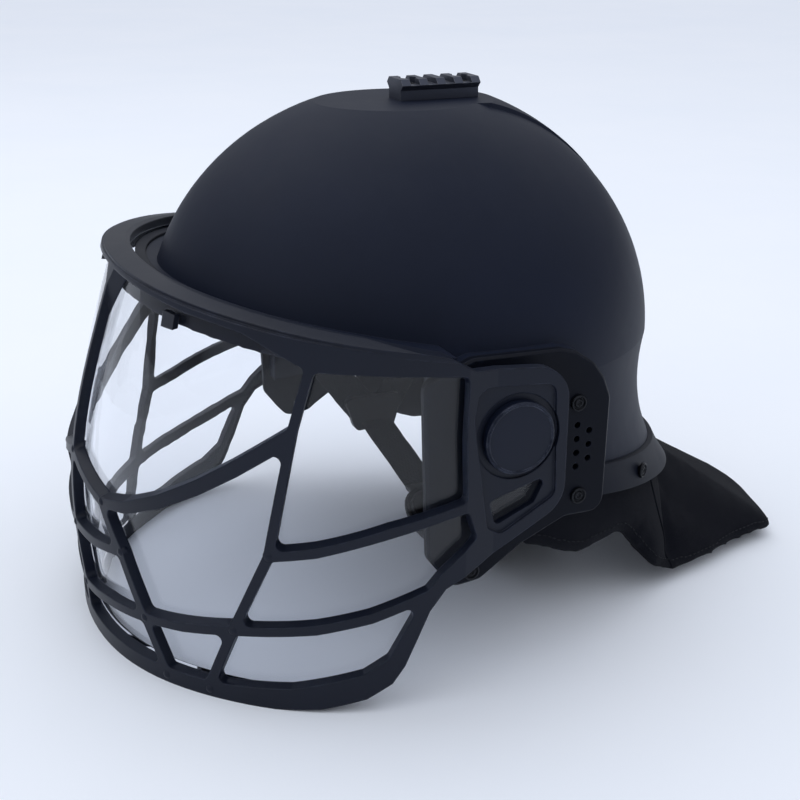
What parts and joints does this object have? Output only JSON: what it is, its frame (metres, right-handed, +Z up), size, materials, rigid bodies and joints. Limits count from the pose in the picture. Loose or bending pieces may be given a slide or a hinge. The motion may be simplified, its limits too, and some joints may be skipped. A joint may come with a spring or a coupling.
{
  "type": "riot helmet",
  "caption": "Riot helmet with a hinged face shield of clear lens and moulded bar frame, accessory rail on the crown, padded neck guard and chin strap with cup.",
  "frame": {"origin": "on the floor, under the middle of the rail, on the helmet's plane of symmetry, as it is put down", "axes": "+Z up, -Y towards the front (the visor), +X towards the wearer's left"},
  "size_m": [0.3062, 0.4323, 0.2805],
  "materials": {
    "shell_paint": "matte, painted",
    "rail_metal": "black anodised, satin",
    "screw_steel": "blackened",
    "edge_rubber": "matte",
    "frame_plastic": "fine grain",
    "cage_plastic": "fine grain",
    "knob_plastic": "fine grain",
    "bush_plastic": "smooth",
    "band_plastic": "smooth",
    "buckle_plastic": "satin",
    "cup_plastic": "smooth",
    "stud_steel": "zinc plated",
    "liner_foam": "foam",
    "pad_fabric": "padded",
    "guard_fabric": "woven, padded",
    "webbing": "woven webbing",
    "lens_clear": "clear polycarbonate"
  },
  "bodies": {
    "helmet": {"accessory_rail": "rail_metal", "brim_trim": "edge_rubber", "brow_pad": "pad_fabric", "buckle_body": "buckle_plastic", "buckle_strap": "webbing", "buckle_tongue": "buckle_plastic", "chin_cup": "cup_plastic", "chin_cup_pad": "pad_fabric", "chin_strap_left": "webbing", "chin_strap_right": "webbing", "crown_pad": "pad_fabric", "ear_pad_left": "pad_fabric", "ear_pad_right": "pad_fabric", "friction_washers": "bush_plastic", "front_strap_left": "webbing", "front_strap_right": "webbing", "headband": "band_plastic", "hinge_plate_left": "frame_plastic", "hinge_plate_right": "frame_plastic", "impact_liner": "liner_foam", "nape_cradle": "band_plastic", "nape_pad": "pad_fabric", "neck_guard": "guard_fabric", "pivot_stud_left": "stud_steel", "pivot_stud_right": "stud_steel", "plate_screws": "screw_steel", "rail_screws": "screw_steel", "rear_rim_band": "frame_plastic", "rear_strap_left": "webbing", "rear_strap_right": "webbing", "rim_band_screws": "screw_steel", "shell": "shell_paint", "strap_adjusters": "buckle_plastic", "strap_rivets": "screw_steel"},
    "visor": {"visor_cage": "cage_plastic", "visor_lens": "lens_clear", "lens_top_seal": "edge_rubber", "lens_clips": "frame_plastic", "visor_bush_left": "bush_plastic", "visor_bush_right": "bush_plastic"},
    "knob_left": {"pivot_knob_left": "knob_plastic"},
    "knob_right": {"pivot_knob_right": "knob_plastic"},
    "dial": {"size_dial": "knob_plastic"},
    "button": {"release_button": "buckle_plastic"}
  },
  "joints": [
    {"name": "visor_hinge", "type": "hinge", "parent": "helmet", "child": "visor", "pos_m": [0, -0.022, 0.133], "axis": [-1, 0, 0], "range_deg": [0, 60]},
    {"name": "knob_left_turn", "type": "hinge", "parent": "helmet", "child": "knob_left", "pos_m": [0.149, -0.022, 0.133], "axis": [1, 0, 0], "range_deg": [0, 180]},
    {"name": "knob_right_turn", "type": "hinge", "parent": "helmet", "child": "knob_right", "pos_m": [-0.149, -0.022, 0.133], "axis": [-1, 0, 0], "range_deg": [0, 180]},
    {"name": "size_dial_turn", "type": "hinge", "parent": "helmet", "child": "dial", "pos_m": [0, 0.09631, 0.102], "axis": [0, 1, 0], "continuous": true},
    {"name": "release_button_push", "type": "slide", "parent": "helmet", "child": "button", "axis": [-0.7386, 0, 0.6742], "range_m": [0, 0.002], "stiffness_N_per_m": 400}
  ]
}
